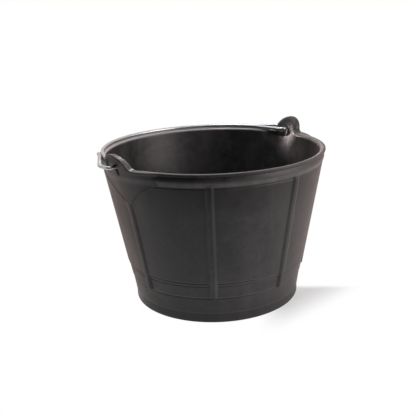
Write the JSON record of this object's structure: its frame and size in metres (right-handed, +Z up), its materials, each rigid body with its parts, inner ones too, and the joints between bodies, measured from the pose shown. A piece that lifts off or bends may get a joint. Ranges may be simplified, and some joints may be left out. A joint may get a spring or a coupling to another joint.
{
  "type": "builders bucket",
  "caption": "Black rubber builders bucket with ribbed tapered wall, beaded rim, stepped foot and two ears that grow out of the rim and carry a swinging galvanised wire bail.",
  "frame": {"origin": "centre of the round base, on the ground", "axes": "+Z up, X along the line through the holes of the two ears, the bail lying back on the +Y half of the rim"},
  "size_m": [0.3618, 0.32, 0.2379],
  "materials": {
    "black_rubber": "matte moulded",
    "galvanised_wire": "galvanised"
  },
  "bodies": {
    "bucket": {"bucket_body": "black_rubber"},
    "handle": {"bail": "galvanised_wire"}
  },
  "joints": [
    {"name": "bail_swing", "type": "hinge", "parent": "bucket", "child": "handle", "pos_m": [0, 0, 0.2205], "axis": [1, 0, 0], "range_deg": [0, 180]}
  ]
}
